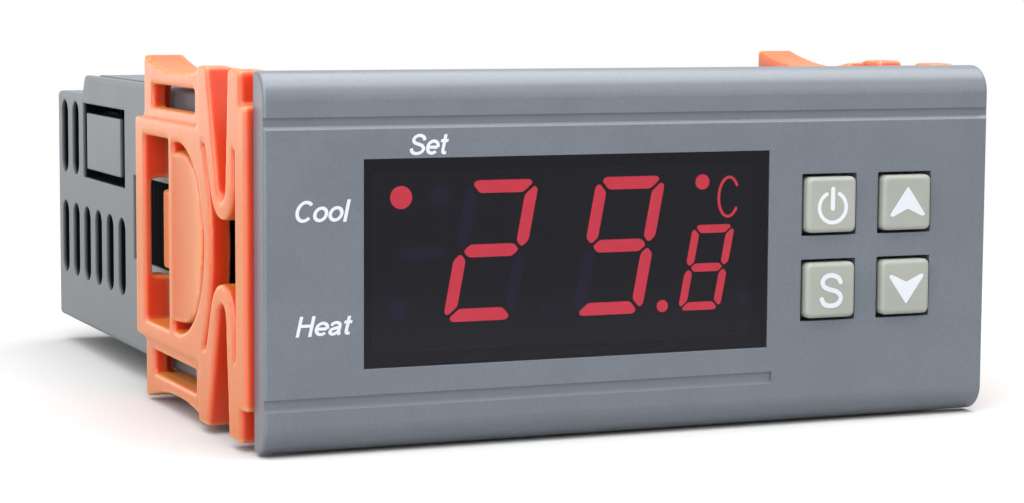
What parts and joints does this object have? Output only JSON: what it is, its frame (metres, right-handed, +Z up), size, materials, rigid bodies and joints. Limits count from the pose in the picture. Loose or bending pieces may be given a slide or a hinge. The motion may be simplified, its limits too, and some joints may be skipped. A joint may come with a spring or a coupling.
{
  "type": "panel-mount temperature controller",
  "caption": "Panel-mount aquarium temperature controller: grey bezel with dark LED display and square push keys, vented box case with rear screw terminals and orange sliding side clips.",
  "frame": {"origin": "centre of the plane where the bezel's back seats on the panel", "axes": "+X to the right seen from the front, +Y from the bezel to the rear, +Z up"},
  "size_m": [0.0766, 0.0881, 0.035],
  "materials": {
    "bezel_plastic": "fine satin texture, blue-grey",
    "tinted_acrylic": "dark smoke tint",
    "case_plastic": "fine satin texture, light grey",
    "clip_plastic": "satin orange",
    "key_plastic": "satin warm grey",
    "display_resin": "dark face of the display",
    "board_laminate": "green lacquer over glass laminate",
    "black_moulding": "black moulding compound",
    "tinned_brass": "tin plated",
    "core_steel": "stacked sheet steel, varnished",
    "bobbin_nylon": "natural nylon",
    "winding_copper": "enamelled copper wire",
    "relay_case": "blue moulded cover",
    "capacitor_sleeve": "shrunk sleeve",
    "terminal_nylon": "green nylon",
    "plated_steel": "zinc plated",
    "clamp_brass": "plain brass",
    "switch_actuator": "ivory actuator"
  },
  "bodies": {
    "housing": {"front_bezel": "bezel_plastic", "display_window": "tinted_acrylic", "case_shell": "case_plastic", "led_display": "display_resin", "display_board": "board_laminate", "main_board": "board_laminate", "board_header": "black_moulding", "header_pins": "tinned_brass", "transformer_core": "core_steel", "transformer_bobbin": "bobbin_nylon", "transformer_winding": "winding_copper", "cooling_relay": "relay_case", "heating_relay": "relay_case", "filter_capacitor": "capacitor_sleeve", "bridge_rectifier": "black_moulding", "voltage_regulator": "black_moulding", "microcontroller": "black_moulding", "buzzer": "black_moulding", "terminal_block": "terminal_nylon", "terminal_screws": "plated_steel", "power_switch": "black_moulding", "up_switch": "black_moulding", "set_switch": "black_moulding", "down_switch": "black_moulding", "terminal_clamp_1": "clamp_brass", "terminal_clamp_2": "clamp_brass", "terminal_clamp_3": "clamp_brass", "terminal_clamp_4": "clamp_brass", "terminal_clamp_5": "clamp_brass", "terminal_clamp_6": "clamp_brass", "terminal_clamp_7": "clamp_brass", "terminal_clamp_8": "clamp_brass"},
    "left_clip": {"left_clip": "clip_plastic"},
    "right_clip": {"right_clip": "clip_plastic"},
    "power_button": {"power_key": "key_plastic", "power_plunger": "switch_actuator"},
    "up_button": {"up_key": "key_plastic", "up_plunger": "switch_actuator"},
    "set_button": {"set_key": "key_plastic", "set_plunger": "switch_actuator"},
    "down_button": {"down_key": "key_plastic", "down_plunger": "switch_actuator"}
  },
  "joints": [
    {"name": "power_press", "type": "slide", "parent": "housing", "child": "power_button", "axis": [0, 1, 0], "range_m": [0, 0.0005], "stiffness_N_per_m": 3200},
    {"name": "up_press", "type": "slide", "parent": "housing", "child": "up_button", "axis": [0, 1, 0], "range_m": [0, 0.0005], "stiffness_N_per_m": 3200},
    {"name": "set_press", "type": "slide", "parent": "housing", "child": "set_button", "axis": [0, 1, 0], "range_m": [0, 0.0005], "stiffness_N_per_m": 3200},
    {"name": "down_press", "type": "slide", "parent": "housing", "child": "down_button", "axis": [0, 1, 0], "range_m": [0, 0.0005], "stiffness_N_per_m": 3200},
    {"name": "left_clip_slide", "type": "slide", "parent": "housing", "child": "left_clip", "axis": [0, 1, 0], "range_m": [0, 0.017]},
    {"name": "right_clip_slide", "type": "slide", "parent": "housing", "child": "right_clip", "axis": [0, 1, 0], "range_m": [-0.0025, 0.0145]}
  ]
}
